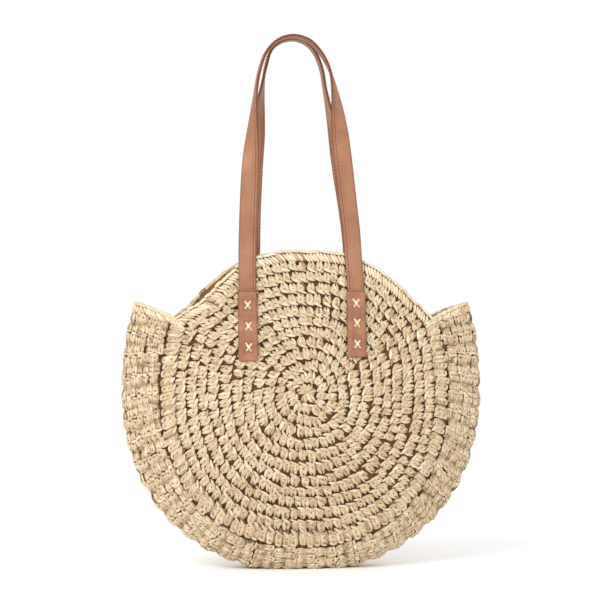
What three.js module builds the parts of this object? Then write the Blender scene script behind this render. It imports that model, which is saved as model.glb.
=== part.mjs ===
// Round crocheted straw beach bag: two crowned discs joined by a folded gusset that ends in two
// pointed ears, an edging round the mouth, a cotton lining and two leather shoulder handles.
// Millimetres and degrees. +X to the right, the front faces -Y, +Z up, the base lies on z = 0.
import * as THREE from 'three';

const { degToRad, lerp, smoothstep } = THREE.MathUtils;

// Driving dimensions: the two discs
const discCentreZ = 195.3;
const discHalfWidth = 146;
const discHalfHeight = 156.3;
const discPower = 2.25;
const crownDepth = 50;
const crownPower = 2;
const seamDepth = 34;
const mouthPinch = 12;
const mouthPinchPower = 3;
const wallThickness = 5;
const edgingHeight = 11;
const edgingProud = 0.8;
const edgingThickness = 6.4;
const edgingChamfer = 1;
const edgingStart = 36;
const edgingRunIn = 6;

// The gusset: its seams follow the discs, its fold line is the bag's widest outline
const foldCentreZ = 198;
const foldHalfWidth = 200;
const foldHeightBelow = 203;
const foldHeightAbove = 225;
const foldPower = 2.2;
const seamStart = 33.3;
const foldStart = 27;
const sideSharpness = 1.35;
const baseSharpness = 4;
const baseSpread = 6;
const earEdgingShare = 0.011;
const pieceGap = 0.4;

// The same gap as a share of the strip's length, about 800 mm
const pieceGapShare = 0.0005;

// Layers of the gusset, from its outer face inwards: depth taken off the seam, distance in from
// the fold line, and height of the flat base
const gussetOuter = { depth: 0, fold: 0, base: 0 };
const gussetInner = { depth: 4.5, fold: 7, base: 5 };
const liningOuter = { depth: 5.4, fold: 8.4, base: 6 };
const liningInner = { depth: 6.6, fold: 10.2, base: 7.2 };
const liningGap = 1;
const liningThickness = 1.2;
const liningReach = 0.975;
const liningTopReach = 0.972;

// The lining draws in behind the edging over this rise of the sine of the height angle
const liningPinchFrom = 0.5;
const liningPinchTo = 0.6;

// Leather
const strapWidth = 19;
const strapThickness = 3.4;
const strapChamfer = 0.8;
const strapEndWidth = 17;
const strapEndThickness = 2.2;
const strapEndBottom = 244;
const strapEndTop = 303.5;
const tabWidth = 21;
const tabThickness = 2.2;
const tabBottom = { left: 229, right: 233 };
const tabTop = 305;

// Heights between which the left and the right side of each handle turn on edge
const frontTwist = [[400, 538], [444, 570]];
const backTwist = [[440, 560], [400, 538]];

// Cross stitches on each tab
const stitchHeights = { left: [290, 267, 244.5], right: [292, 270.5, 247.5] };
const stitchHalfWidth = 3.8;
const stitchHalfHeight = 5.2;
const stitchHalfStrand = 1;
const stitchDepth = 1.2;

// Mesh density
const wallGrid = { rings: 5, segments: 60 };
const liningGrid = { rings: 4, segments: 30 };
const gussetStations = 36;
const gussetColumns = 8;
const edgingStations = 18;
const strapStations = 52;
const patchStations = 5;
const patchColumns = 2;

// Centre lines of the two handles, from the left tab over the arch to the right tab
const frontRoute = [
  [-64, -37, 307.5], [-63.9, -33.4, 321], [-63.7, -28.4, 342], [-63, -26.5, 370], [-61.8, -25, 403],
  [-58.4, -20.5, 463], [-52.6, -14, 528], [-48.4, -11.5, 549], [-41, -11, 568.5], [-28, -11, 581.5],
  [-11.6, -11, 586], [6, -11, 581], [19.5, -11, 567], [28.8, -11.5, 549.5], [34, -14, 527.5],
  [41.2, -20.5, 463], [47.6, -25, 403], [51.3, -26.5, 370], [53, -28.4, 342], [54, -33.4, 321],
  [54.5, -37, 307.5],
];
const backRoute = [
  [-55.5, 37, 307.5], [-55.2, 33.4, 321], [-54.6, 28.4, 342], [-54, 26.5, 370], [-53.1, 25, 403],
  [-50.3, 20.5, 463], [-43.6, 14, 531], [-40, 11.5, 554], [-33.8, 11, 573], [-23.5, 11, 582],
  [-9, 11, 585.3], [4.5, 11, 581.3], [14, 11, 572], [22.2, 11.5, 553], [27, 14, 528],
  [40.5, 20.5, 466], [51.5, 25, 403], [56.2, 26.5, 370], [58.6, 28.4, 342], [59.6, 33.4, 321],
  [60, 37, 307.5],
];

const finishes = {
  straw: { color: 0xe6cda2, roughness: 0.85, metalness: 0 },
  edging: { color: 0xeed7af, roughness: 0.85, metalness: 0 },
  lining: { color: 0xa5713f, roughness: 0.9, metalness: 0 },
  leather: { color: 0xbe7d5a, roughness: 0.55, metalness: 0 },
  thread: { color: 0xf1e2c0, roughness: 0.8, metalness: 0 },
};

const bag = new THREE.Group();

// Outlines and surfaces ---------------------------------------------------------------------

// Distance from the centre to a superellipse, in the direction of the angle.
function superellipseRadius(angle, halfWidth, halfHeight, power) {
  const across = Math.abs(Math.cos(angle)) / halfWidth;
  const up = Math.abs(Math.sin(angle)) / halfHeight;
  return (across ** power + up ** power) ** (-1 / power);
}

function discRadius(angle) {
  return superellipseRadius(angle, discHalfWidth, discHalfHeight, discPower);
}

// Depth of the disc's edge from the mid plane: full at the seam, less towards the top of the mouth.
function edgeDepth(angle) {
  return seamDepth - mouthPinch * Math.max(0, Math.sin(angle)) ** mouthPinchPower;
}

// Depth of the disc's outer face at a share of the way from its centre to its edge.
function crown(angle, share) {
  return lerp(crownDepth, edgeDepth(angle), share ** crownPower);
}

function outerFaceDepth(x, z) {
  const angle = Math.atan2(z - discCentreZ, x);
  return crown(angle, Math.hypot(x, z - discCentreZ) / discRadius(angle));
}

// Share of the disc's outline that the wall fills: all of it along the gusset, less under the edging.
function wallReach(angle) {
  const aboveEar = Math.asin(Math.max(-1, Math.min(1, Math.sin(angle))));
  const underEdging = smoothstep(aboveEar, degToRad(edgingStart - edgingRunIn), degToRad(edgingStart));
  return 1 - (edgingHeight / discHalfHeight) * underEdging;
}

// Point on the disc, at a depth on one side of the bag (-1 front, 1 back).
function discPoint(side, angle, radius, depth) {
  return new THREE.Vector3(
    radius * Math.cos(angle), side * depth, discCentreZ + radius * Math.sin(angle));
}

// Angle in degrees of the same place on the other half of the bag, counted down past the base.
function mirrored(angle) {
  return -180 - angle;
}

// Point of the gusset: s runs along the strip from the right ear to the left, t from the front
// seam (-1) over the fold line (0) to the back seam (1).
function gussetPoint(s, t, layer) {
  const seamAngle = degToRad(lerp(seamStart, mirrored(seamStart), s));
  const foldAngle = degToRad(lerp(foldStart, mirrored(foldStart), s));
  const depth = edgeDepth(seamAngle) - layer.depth;
  const seam = discPoint(1, seamAngle, discRadius(seamAngle) + pieceGap, 0);
  const foldHeight = Math.sin(foldAngle) < 0 ? foldHeightBelow : foldHeightAbove;
  const foldRadius = superellipseRadius(foldAngle, foldHalfWidth, foldHeight, foldPower) - layer.fold;
  const fold = new THREE.Vector3(
    foldRadius * Math.cos(foldAngle), 0, foldCentreZ + foldRadius * Math.sin(foldAngle));
  const atBase = Math.max(0, -Math.sin(foldAngle)) ** baseSpread;
  const sharpness = lerp(sideSharpness, baseSharpness, atBase);
  const point = seam.lerp(fold, 1 - Math.abs(t) ** sharpness);
  return new THREE.Vector3(point.x, t * depth, Math.max(point.z, layer.base));
}

// Solids --------------------------------------------------------------------------------------

function solid(points, triangles) {
  const geometry = new THREE.BufferGeometry().setFromPoints(points);
  const corner = (index) => points[index];
  const volume = triangles.reduce((sum, [a, b, c]) =>
    sum + corner(a).dot(new THREE.Vector3().crossVectors(corner(b), corner(c))), 0);
  const outward = volume > 0 ? triangles : triangles.map(([a, b, c]) => [a, c, b]);
  geometry.setIndex(outward.flat());
  geometry.computeVertexNormals();
  return geometry;
}

function quad(a, b, c, d) {
  return [[a, b, c], [a, c, d]];
}

// Skin over a row of closed rings. Each ring has an even number of points, and its two halves
// face each other, so the end caps join point k to the point opposite.
function loft(rings) {
  const count = rings[0].length;
  const triangles = [];
  for (let i = 0; i < rings.length - 1; i += 1) {
    for (let k = 0; k < count; k += 1) {
      const next = (k + 1) % count;
      triangles.push(...quad(
        i * count + k, i * count + next, (i + 1) * count + next, (i + 1) * count + k));
    }
  }
  const last = (rings.length - 1) * count;
  for (let k = 0; k < count / 2 - 1; k += 1) {
    const [a, b, c, d] = [k, k + 1, count - 2 - k, count - 1 - k];
    triangles.push(...quad(a, d, c, b));
    triangles.push(...quad(last + a, last + b, last + c, last + d));
  }
  return solid(rings.flat(), triangles);
}

// Round shell between two faces, each given as a function of the angle and a share of the radius.
function discShell(outerFace, innerFace, { rings, segments }) {
  const points = [];
  const triangles = [];
  [outerFace, innerFace].forEach((face) => {
    points.push(face(0, 0));
    for (let ring = 1; ring <= rings; ring += 1) {
      for (let k = 0; k < segments; k += 1) {
        points.push(face((2 * Math.PI * k) / segments, ring / rings));
      }
    }
  });
  const faceSize = 1 + rings * segments;
  const at = (face, ring, k) =>
    face * faceSize + (ring === 0 ? 0 : 1 + (ring - 1) * segments + (k % segments));
  for (let k = 0; k < segments; k += 1) {
    triangles.push([at(0, 0, 0), at(0, 1, k), at(0, 1, k + 1)]);
    triangles.push([at(1, 0, 0), at(1, 1, k + 1), at(1, 1, k)]);
    for (let ring = 1; ring < rings; ring += 1) {
      triangles.push(...quad(at(0, ring, k), at(0, ring + 1, k), at(0, ring + 1, k + 1), at(0, ring, k + 1)));
      triangles.push(...quad(at(1, ring, k), at(1, ring, k + 1), at(1, ring + 1, k + 1), at(1, ring + 1, k)));
    }
    triangles.push(...quad(at(0, rings, k), at(1, rings, k), at(1, rings, k + 1), at(0, rings, k + 1)));
  }
  return solid(points, triangles);
}

function addPiece(name, geometry, finish) {
  const mesh = new THREE.Mesh(geometry, new THREE.MeshStandardMaterial(finish));
  mesh.name = name;
  bag.add(mesh);
  return mesh;
}

// Crochet -------------------------------------------------------------------------------------

function wallPanel(side) {
  const face = (inset) => (angle, share) => {
    const reach = wallReach(angle) * share;
    return discPoint(side, angle, reach * discRadius(angle), crown(angle, reach) - inset);
  };
  return discShell(face(0), face(wallThickness), wallGrid);
}

// Band of plain rounds along the disc's free edge, from ear to ear.
function mouthEdging(side) {
  const rings = [];
  for (let i = 0; i <= edgingStations; i += 1) {
    const angle = degToRad(lerp(edgingStart, 180 - edgingStart, i / edgingStations));
    const top = discRadius(angle);
    const bottom = wallReach(angle) * top + pieceGap;
    const point = (radius, inset) => discPoint(
      side, angle, radius, crown(angle, radius / top) + edgingProud - inset);
    rings.push([
      point(bottom, 0), point(top - edgingChamfer, 0), point(top, edgingChamfer),
      point(top, edgingThickness - edgingChamfer), point(top - edgingChamfer, edgingThickness),
      point(bottom, edgingThickness),
    ]);
  }
  return loft(rings);
}

// Stretch of the gusset between two faces.
function gussetStrip(start, end, stations, outer, inner) {
  const rings = [];
  for (let i = 0; i <= stations; i += 1) {
    const s = lerp(start, end, i / stations);
    const ring = [];
    for (let j = 0; j <= gussetColumns; j += 1) {
      ring.push(gussetPoint(s, lerp(-1, 1, j / gussetColumns), outer));
    }
    for (let j = gussetColumns; j >= 0; j -= 1) {
      ring.push(gussetPoint(s, lerp(-1, 1, j / gussetColumns), inner));
    }
    rings.push(ring);
  }
  return loft(rings);
}

// Lining --------------------------------------------------------------------------------------

function liningPanel(side) {
  const face = (inset) => (angle, share) => {
    const upper = smoothstep(Math.sin(angle), liningPinchFrom, liningPinchTo);
    const reach = lerp(liningReach, liningTopReach, upper) * share;
    const pinchClearance = edgingThickness - edgingProud - wallThickness;
    const depth = crown(angle, reach) - wallThickness - liningGap - inset - pinchClearance * upper;
    return discPoint(side, angle, reach * discRadius(angle), depth);
  };
  return discShell(face(0), face(liningThickness), liningGrid);
}

// Leather -------------------------------------------------------------------------------------

// Flat patch lying over the disc's outer face, lifted off it.
function surfacePatch(side, centreX, width, bottom, top, lift, thickness) {
  const point = (i, j, height) => {
    const x = centreX + lerp(-width / 2, width / 2, j / patchColumns);
    const z = lerp(bottom, top, i / patchStations);
    return new THREE.Vector3(x, side * (outerFaceDepth(x, z) + height), z);
  };
  const rings = [];
  for (let i = 0; i <= patchStations; i += 1) {
    const ring = [];
    for (let j = 0; j <= patchColumns; j += 1) {
      ring.push(point(i, j, lift + thickness));
    }
    for (let j = patchColumns; j >= 0; j -= 1) {
      ring.push(point(i, j, lift));
    }
    rings.push(ring);
  }
  return loft(rings);
}

// Strap along its centre line. It faces out of the bag at both tabs and makes a half turn about
// its own length between them, so it stands on edge over the arch.
function handleStrap(side, route, twist) {
  const curve = new THREE.CatmullRomCurve3(
    route.map((point) => new THREE.Vector3(...point)), false, 'centripetal');
  const halfWidth = strapWidth / 2;
  const halfThickness = strapThickness / 2;
  const section = [
    [-halfWidth, halfThickness - strapChamfer], [-halfWidth + strapChamfer, halfThickness],
    [halfWidth - strapChamfer, halfThickness], [halfWidth, halfThickness - strapChamfer],
    [halfWidth, strapChamfer - halfThickness], [halfWidth - strapChamfer, -halfThickness],
    [strapChamfer - halfWidth, -halfThickness], [-halfWidth, strapChamfer - halfThickness],
  ];
  const rings = [];
  for (let i = 0; i <= strapStations; i += 1) {
    const along = i / strapStations;
    const centre = curve.getPointAt(along);
    const tangent = curve.getTangentAt(along);
    const [onLeft, onRight] = twist.map((heights) => (Math.PI / 2) * smoothstep(centre.z, ...heights));
    const turn = along < 0.5 ? onLeft : Math.PI - onRight;
    const across = new THREE.Vector3(Math.cos(turn), side * Math.sin(turn), 0);
    across.addScaledVector(tangent, -across.dot(tangent)).normalize();
    const outward = new THREE.Vector3().crossVectors(across, tangent);
    rings.push(section.map(([w, t]) =>
      centre.clone().addScaledVector(across, w).addScaledVector(outward, t)));
  }
  return loft(rings);
}

// Stitches ------------------------------------------------------------------------------------

// Two crossing strands as one flat X, extruded by the thread's height.
function crossStitch() {
  const length = Math.hypot(stitchHalfWidth, stitchHalfHeight);
  const sideways = (stitchHalfStrand * stitchHalfHeight) / length;
  const upward = (stitchHalfStrand * stitchHalfWidth) / length;
  const notchX = (stitchHalfStrand * length) / stitchHalfHeight;
  const notchY = (stitchHalfStrand * length) / stitchHalfWidth;
  const quarter = [
    [notchX, 0],
    [stitchHalfWidth + sideways, stitchHalfHeight - upward],
    [stitchHalfWidth - sideways, stitchHalfHeight + upward],
  ];
  const half = [...quarter, [0, notchY], ...quarter.slice(1).reverse().map(([x, y]) => [-x, y])];
  const outline = [...half, ...half.map(([x, y]) => [-x, -y])];
  const shape = new THREE.Shape(outline.map(([x, y]) => new THREE.Vector2(x, y)));
  const geometry = new THREE.ExtrudeGeometry(shape, { depth: stitchDepth, bevelEnabled: false });
  return geometry.rotateX(Math.PI / 2);
}

// Places a stitch on a tab: its flat back lies along the tab's face, one gap above it.
function addStitch(name, side, x, z, tabFace) {
  const stitch = addPiece(name, crossStitch(), finishes.thread);
  const rise = outerFaceDepth(x, z + stitchHalfHeight) - outerFaceDepth(x, z - stitchHalfHeight);
  const run = outerFaceDepth(x + stitchHalfWidth, z) - outerFaceDepth(x - stitchHalfWidth, z);
  const back = outerFaceDepth(x, z) + tabFace + pieceGap;
  stitch.rotation.order = 'ZXY';
  stitch.rotation.z = (side > 0 ? Math.PI : 0) - side * Math.atan2(-run, 2 * stitchHalfWidth);
  stitch.rotation.x = Math.atan2(rise, 2 * stitchHalfHeight);
  stitch.position.set(x, side * back, z);
}

// Assembly ------------------------------------------------------------------------------------

addPiece('gusset', gussetStrip(
  earEdgingShare, 1 - earEdgingShare, gussetStations, gussetOuter, gussetInner), finishes.straw);
const earEnd = earEdgingShare - pieceGapShare;
addPiece('right_ear_edging', gussetStrip(0, earEnd, 1, gussetOuter, gussetInner), finishes.edging);
addPiece('left_ear_edging', gussetStrip(1 - earEnd, 1, 1, gussetOuter, gussetInner), finishes.edging);
addPiece('gusset_lining', gussetStrip(
  earEdgingShare, 1 - earEdgingShare, gussetStations, liningOuter, liningInner), finishes.lining);

[
  ['front', -1, frontRoute, frontTwist], ['back', 1, backRoute, backTwist],
].forEach(([label, side, route, twist]) => {
  addPiece(`${label}_panel`, wallPanel(side), finishes.straw);
  addPiece(`${label}_edging`, mouthEdging(side), finishes.edging);
  addPiece(`${label}_lining`, liningPanel(side), finishes.lining);
  addPiece(`${label}_strap`, handleStrap(side, route, twist), finishes.leather);
  const tabLift = strapEndThickness + 2 * pieceGap;
  const ends = [['left', route[0][0]], ['right', route[route.length - 1][0]]];
  ends.forEach(([end, x]) => {
    addPiece(`${label}_strap_end_${end}`, surfacePatch(
      side, x, strapEndWidth, strapEndBottom, strapEndTop, pieceGap, strapEndThickness), finishes.leather);
    addPiece(`${label}_tab_${end}`, surfacePatch(
      side, x, tabWidth, tabBottom[end], tabTop, tabLift, tabThickness), finishes.leather);
    stitchHeights[end].forEach((z, row) => {
      addStitch(`${label}_stitch_${end}_${row + 1}`, side, x, z, tabLift + tabThickness);
    });
  });
});

export default bag;
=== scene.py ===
import functools
import math

import bpy
import numpy as np
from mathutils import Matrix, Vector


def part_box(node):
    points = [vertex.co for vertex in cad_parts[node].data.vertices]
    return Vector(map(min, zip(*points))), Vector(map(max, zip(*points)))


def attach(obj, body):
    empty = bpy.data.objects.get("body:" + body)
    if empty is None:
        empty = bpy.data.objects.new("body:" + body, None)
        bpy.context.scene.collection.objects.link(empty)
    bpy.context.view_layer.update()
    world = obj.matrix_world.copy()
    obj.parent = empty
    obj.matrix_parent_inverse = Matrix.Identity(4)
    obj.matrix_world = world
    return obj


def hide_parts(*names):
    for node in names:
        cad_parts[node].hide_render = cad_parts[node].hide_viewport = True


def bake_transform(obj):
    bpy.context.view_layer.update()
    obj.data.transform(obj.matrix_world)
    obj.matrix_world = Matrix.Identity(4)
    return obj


# Round straw tote: crochet, lining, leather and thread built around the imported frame.
# Shapes are worked out in millimetres and become metres when a mesh is made.

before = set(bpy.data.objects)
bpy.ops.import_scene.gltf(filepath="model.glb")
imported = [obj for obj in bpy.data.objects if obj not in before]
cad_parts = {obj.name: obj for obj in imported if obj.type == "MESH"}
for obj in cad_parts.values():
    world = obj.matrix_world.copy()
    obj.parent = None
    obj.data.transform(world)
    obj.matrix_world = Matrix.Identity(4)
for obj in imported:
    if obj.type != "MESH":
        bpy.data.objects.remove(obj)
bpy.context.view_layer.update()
print("frame loaded, CAD nodes:", len(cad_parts))

millimetre = 0.001


def boxInMm(node):
    low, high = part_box(node)
    return np.array(low) / millimetre, np.array(high) / millimetre


panelLow, panelHigh = boxInMm("front_panel")
edgingTop = boxInMm("front_edging")[1][2]
bothSides = (("front", -1), ("back", 1))

disc = {
    "halfWidth": panelHigh[0],
    "halfHeight": (edgingTop - panelLow[2]) / 2,
    "centreZ": (edgingTop + panelLow[2]) / 2,
    "power": 2.25,  # 2 is an ellipse, more is squarer
    "crownDepth": -panelLow[1],
    "seamDepth": 34.0,
    "mouthPinch": 12.0,
    "pinchPower": 3,
    "edgingHeight": 11.0,
}
mouth = {
    "bandStart": 29.0,  # degrees above the ear side where the band ends
    "flareEnd": 48.0,
    "flare": 13.0,  # the band swings this far out past the rim, over the ear's seam
    "sag": 6.0,  # the front edge sits lower beside the left handle
    "sagFrom": 112.0,
    "sagTo": 153.0,
    "tuck": 1.6,  # the last round goes on this far under the band
}
strip = {
    "foldHalfWidth": boxInMm("gusset")[1][0],
    "foldCentreZ": 198.0,
    "foldBelow": 203.0,
    "foldAbove": 225.0,
    "foldPower": 2.2,
    "seamStart": 33.3,  # degrees where the right ear leaves the disc
    "foldStart": 27.0,  # degrees of the right ear's tip
    "sideSharpness": 1.35,
    "baseSharpness": 4.0,
    "baseSpread": 6,
    "earShare": 0.011,
    "gap": 0.4,
    "pastSeam": 0.8,  # t gained for a share of way back over the seam
    "earDip": 0.016,  # the ears' top edges sink towards the mouth by this share of the strip
    "dipLength": 0.08,
}
bagMiddle = np.array([0.0, 0.0, disc["centreZ"]])


def mix(a, b, share):
    return a + (b - a) * share


def smoothRamp(x, low, high):
    # 0 below low, 1 above high, 3t^2 - 2t^3 between them
    t = np.clip((x - low) / (high - low), 0, 1)
    return t * t * (3 - 2 * t)


def unit(vectors):
    return vectors / np.maximum(np.linalg.norm(vectors, axis=-1, keepdims=True), 1e-9)


def superellipse(angle, halfWidth, halfHeight, power):
    # rim distance = ((|cos|/a)^p + (|sin|/b)^p)^(-1/p)
    across = np.abs(np.cos(angle)) / halfWidth
    up = np.abs(np.sin(angle)) / halfHeight
    return (across ** power + up ** power) ** (-1 / power)


def rimRadius(angle):
    return superellipse(angle, disc["halfWidth"], disc["halfHeight"], disc["power"])


def rimDepth(angle):
    return disc["seamDepth"] - disc["mouthPinch"] * np.clip(np.sin(angle), 0, 1) ** disc["pinchPower"]


def rimFlare(angle):
    # full flare at the band's start, falling to 0 by the square of the way up to the flare's end
    above = np.degrees(np.arcsin(np.clip(np.sin(angle), -1, 1)))
    near = np.clip((mouth["flareEnd"] - above) / (mouth["flareEnd"] - mouth["bandStart"]), 0, 1)
    return mouth["flare"] * near ** 2


def rimSag(side, angle):
    # squared sine over the stretch beside the left handle, on the front only
    way = (np.degrees(angle) % 360 - mouth["sagFrom"]) / (mouth["sagTo"] - mouth["sagFrom"])
    return (side < 0) * mouth["sag"] * np.sin(np.pi * np.clip(way, 0, 1)) ** 2


def wallReach(angle):
    # share of the rim that the rounds fill: all of it beside the gusset, less under the band
    covered = np.maximum(disc["edgingHeight"] - mouth["tuck"] - rimFlare(angle), 0)
    return 1 - covered / disc["halfHeight"]


def aroundDisc(side, angle, radius, depth):
    # point = disc's middle + radius (cos, sin), at its depth from the bag's mid plane
    return np.stack([radius * np.cos(angle), side * depth, disc["centreZ"] + radius * np.sin(angle)], -1)


def discPoint(side, angle, share):
    # crowned disc: radius = rim times share, less the sag by share to the sixth power, and depth
    # mixed from crown to rim by share squared
    radius = rimRadius(angle) * share - rimSag(side, angle) * share ** 6
    return aroundDisc(side, angle, radius, mix(disc["crownDepth"], rimDepth(angle), share ** 2))


def faceDepth(x, z):
    angle = np.arctan2(z - disc["centreZ"], x)
    share = np.hypot(x, z - disc["centreZ"]) / rimRadius(angle)
    return mix(disc["crownDepth"], rimDepth(angle), share ** 2)


def gussetAt(s, t, inDepth=0.0, inFold=0.0, base=0.0):
    # s runs right ear 0 to left ear 1, t front seam -1 over the fold line 0 to the back seam 1:
    # seam point mixed to fold point by 1 - |t|^sharpness, depth falling straight with t
    s, t = np.broadcast_arrays(s, t)
    seamAngle = np.radians(mix(strip["seamStart"], -180 - strip["seamStart"], s))
    foldAngle = np.radians(mix(strip["foldStart"], -180 - strip["foldStart"], s))
    seamRadius = rimRadius(seamAngle) + strip["gap"]
    foldHeight = np.where(np.sin(foldAngle) < 0, strip["foldBelow"], strip["foldAbove"])
    foldRadius = superellipse(foldAngle, strip["foldHalfWidth"], foldHeight, strip["foldPower"]) - inFold
    atBase = np.clip(-np.sin(foldAngle), 0, 1) ** strip["baseSpread"]
    sharpness = mix(strip["sideSharpness"], strip["baseSharpness"], atBase)
    outwards = 1 - np.abs(t) ** sharpness
    x = mix(seamRadius * np.cos(seamAngle), foldRadius * np.cos(foldAngle), outwards)
    z = mix(disc["centreZ"] + seamRadius * np.sin(seamAngle),
            strip["foldCentreZ"] + foldRadius * np.sin(foldAngle), outwards)
    return np.stack([x, t * (rimDepth(seamAngle) - inDepth), np.maximum(z, base)], -1)


def evenFoldTable(sCount, shareCount):
    # |t| for an even share of the way along the surface, from the seam (0) to the fold line (1)
    s = np.linspace(0, 1, sCount)[:, None]
    t = np.linspace(1, 0, 121)[None]
    steps = np.linalg.norm(np.diff(gussetAt(s, t), axis=1), axis=-1)
    run = np.concatenate([np.zeros((sCount, 1)), np.cumsum(steps, axis=1)], axis=1)
    even = np.linspace(0, 1, shareCount)
    return np.array([np.interp(even, row / row[-1], t[0]) for row in run])


foldTable = evenFoldTable(201, 61)


def gussetPoint(side, s, share):
    # point an even share of the way from one seam to the fold line, past 1 on the other side; near
    # the ears s grows by dip * (1 - share)^2 * (1 - s / length)^2, mirrored at the other end
    s, share = np.broadcast_arrays(s, share)
    inside = np.where(share > 1, 2 - share, share)
    dip = strip["earDip"] * (1 - np.clip(inside, 0, 1)) ** 2
    length = strip["dipLength"]
    s = s + dip * (np.clip(1 - s / length, 0, 1) ** 2 - np.clip(1 - (1 - s) / length, 0, 1) ** 2)
    row = np.clip(s, 0, 1) * (foldTable.shape[0] - 1)
    column = np.clip(inside, 0, 1) * (foldTable.shape[1] - 1)
    i = np.minimum(row.astype(int), foldTable.shape[0] - 2)
    j = np.minimum(column.astype(int), foldTable.shape[1] - 2)
    a, b = row - i, column - j
    here = mix(foldTable[i, j], foldTable[i, j + 1], b)
    beyond = mix(foldTable[i + 1, j], foldTable[i + 1, j + 1], b)
    t = mix(here, beyond, a) + np.clip(-share, 0, 1) * strip["pastSeam"]
    return gussetAt(s, np.where(share > 1, -side, side) * t)


def pointAndNormal(surface, p, q):
    # normal = cross product of two small steps, turned to point away from the bag's middle
    step = 2e-3
    here = surface(p, q)
    alongP = surface(p + step, q) - surface(p - step, q)
    alongQ = surface(p, q + step) - surface(p, q - step)
    normal = unit(np.cross(alongP, alongQ))
    facing = np.sign(np.sum(normal * (here - bagMiddle), axis=-1, keepdims=True))
    return here, normal * np.where(facing == 0, 1, facing)


# Meshes

def gridFaces(rows, columns, closed):
    # quads of a grid, its last column joined to its first where closed
    r, c = np.meshgrid(np.arange(rows - 1), np.arange(columns if closed else columns - 1), indexing="ij")
    r, c = r.ravel(), c.ravel()
    n = (c + 1) % columns
    quads = np.stack([r * columns + c, (r + 1) * columns + c, (r + 1) * columns + n, r * columns + n], -1)
    u = np.stack([r, r + 1, r + 1, r], -1) / (rows - 1)
    v = np.stack([c, c, c + 1, c + 1], -1) / (columns if closed else columns - 1)
    return quads, np.stack([u, v], -1)


def ringSkin(rings, starts, ends, tone):
    # skins over sets of closed rings [set, station, around, 3], each set closed by a point at
    # either end and with an island of its own in the maps
    count, stations, sides, _ = rings.shape
    points = np.concatenate([rings.reshape(count, -1, 3), starts, ends], axis=1)
    size = points.shape[1]
    quads, quadUv = gridFaces(stations, sides, True)
    k = np.arange(sides)
    n = (k + 1) % sides
    last = (stations - 1) * sides
    startTris = np.stack([k * 0 + size - 2, k, n], -1)
    endTris = np.stack([last + k, k * 0 + size - 1, last + n], -1)
    tris = np.concatenate([startTris, endTris])
    around = np.stack([(k + 0.5) / sides, k / sides, (k + 1) / sides], -1)
    startUv = np.stack([np.array([0, 0.1, 0.1]) + 0 * around, around], -1)
    endUv = np.stack([np.array([0.9, 1, 0.9]) + 0 * around, around[:, [1, 0, 2]]], -1)
    shift = (np.arange(count) * size)[:, None, None]
    return {
        "points": points.reshape(-1, 3),
        "tone": np.repeat(tone, size),
        "quads": (quads[None] + shift).reshape(-1, 4),
        "tris": (tris[None] + shift).reshape(-1, 3),
        "quadUv": np.tile(quadUv * [0.8, 1] + [0.1, 0], (count, 1, 1)),
        "triUv": np.tile(np.concatenate([startUv, endUv]), (count, 1, 1)),
        "quadIsland": np.repeat(np.arange(count), len(quads)),
        "triIsland": np.repeat(np.arange(count), len(tris)),
        "islands": count,
    }


def tubes(line, normal, halfWidth, halfThickness, sides, tone, ply=0, lay=6.0, plyDepth=0.16):
    # ring = centre + across*a*cos + up*b*sin, a and b following the root of a sine to a point at
    # both ends; a plied cord swells with cos(ply*turn - 2 pi length / lay)
    tangent = unit(np.gradient(line, axis=1))
    across = unit(np.cross(tangent, normal))
    up = np.cross(across, tangent)
    share = np.linspace(0, 1, line.shape[1])[1:-1]
    swell = (np.sin(np.pi * share) ** 0.5)[None, :, None]
    turn = (2 * np.pi * np.arange(sides) / sides)[None, None]
    if ply:
        steps = np.linalg.norm(np.gradient(line, axis=1), axis=-1)
        length = np.cumsum(steps, axis=1)[:, 1:-1, None]
        swell = swell * (1 + plyDepth * np.cos(ply * turn - 2 * np.pi * length / lay))
    wide = np.reshape(halfWidth, (-1, 1, 1)) * swell * np.cos(turn)
    thick = np.reshape(halfThickness, (-1, 1, 1)) * swell * np.sin(turn)
    inner = slice(1, -1)
    rings = line[:, inner, None] + across[:, inner, None] * wide[..., None]
    rings = rings + up[:, inner, None] * thick[..., None]
    return ringSkin(rings, line[:, :1], line[:, -1:], tone)


def joined(parts):
    # one set of arrays from several, with indices and islands moved on
    result = {}
    pointShift = np.cumsum([0] + [len(part["points"]) for part in parts])
    islandShift = np.cumsum([0] + [part["islands"] for part in parts])
    for key in ("points", "tone", "quadUv", "triUv"):
        result[key] = np.concatenate([part[key] for part in parts])
    for key in ("quads", "tris"):
        result[key] = np.concatenate([part[key] + shift for part, shift in zip(parts, pointShift)])
    for key in ("quadIsland", "triIsland"):
        result[key] = np.concatenate([part[key] + shift for part, shift in zip(parts, islandShift)])
    result["islands"] = int(islandShift[-1])
    return result


def loft(rings, tone):
    # skin over rings [stations, around, 3]; each end is closed by quads between opposite points
    stations, around, _ = rings.shape
    quads, uv = gridFaces(stations, around, True)
    k = np.arange(around // 2 - 1)
    cap = np.stack([k, k + 1, around - 2 - k, around - 1 - k], -1)
    end = (stations - 1) * around + cap[:, ::-1]
    capUv = np.stack([np.zeros(cap.shape), cap / around], -1)
    endUv = np.stack([np.ones(cap.shape), cap[:, ::-1] / around], -1)
    return {
        "points": rings.reshape(-1, 3),
        "tone": np.broadcast_to(tone, (stations, around)).reshape(-1),
        "quads": np.concatenate([quads, cap, end]),
        "tris": np.zeros((0, 3), int),
        "quadUv": np.concatenate([uv, capUv, endUv]),
        "triUv": np.zeros((0, 3, 2)),
        "quadIsland": np.zeros(len(quads) + 2 * len(cap), int),
        "triIsland": np.zeros(0, int),
        "islands": 1,
    }


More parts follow.
